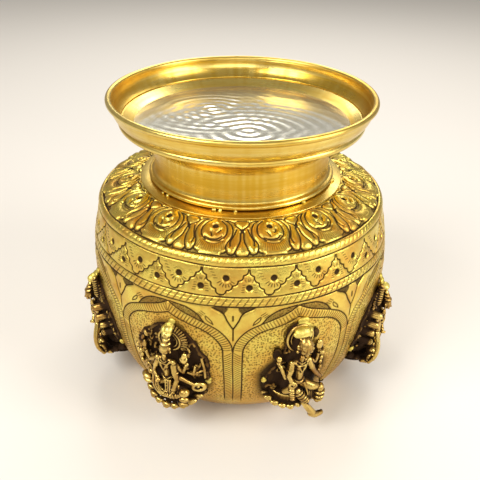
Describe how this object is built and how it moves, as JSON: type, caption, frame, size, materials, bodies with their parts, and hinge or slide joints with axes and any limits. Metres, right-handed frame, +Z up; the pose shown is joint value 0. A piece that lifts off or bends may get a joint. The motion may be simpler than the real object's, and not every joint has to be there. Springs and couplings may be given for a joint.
{
  "type": "brass urli bowl",
  "caption": "Squat brass pot with a chased belly, a waisted neck and a flared dish mouth, with seated cast figures brazed round its lower wall.",
  "frame": {"origin": "centre of the flat base, on the surface the pot stands on", "axes": "+Z up along the pot's turning axis; -Y towards the front, between two of the figures"},
  "size_m": [0.2132, 0.2138, 0.1937],
  "materials": {
    "chased_brass": "chased lemon-gold brass with dark lacquer left in the cut lines",
    "turned_brass": "turned and polished, amber-gold, fine lathe lines",
    "cast_brass": "cast, darkened in the hollows and rubbed bright on the high spots",
    "braze": "bright spelter left as run, slightly wrinkled"
  },
  "bodies": {
    "root": {"lower_bowl": "chased_brass", "shoulder": "chased_brass", "collar_ring": "turned_brass", "mouth": "turned_brass", "rim_ring": "turned_brass", "neck_tacks": "braze", "figure_1": "cast_brass", "figure_2": "cast_brass", "figure_3": "cast_brass", "figure_4": "cast_brass", "figure_5": "cast_brass", "figure_6": "cast_brass", "figure_7": "cast_brass", "figure_8": "cast_brass", "figure_brazes": "braze"}
  },
  "joints": []
}
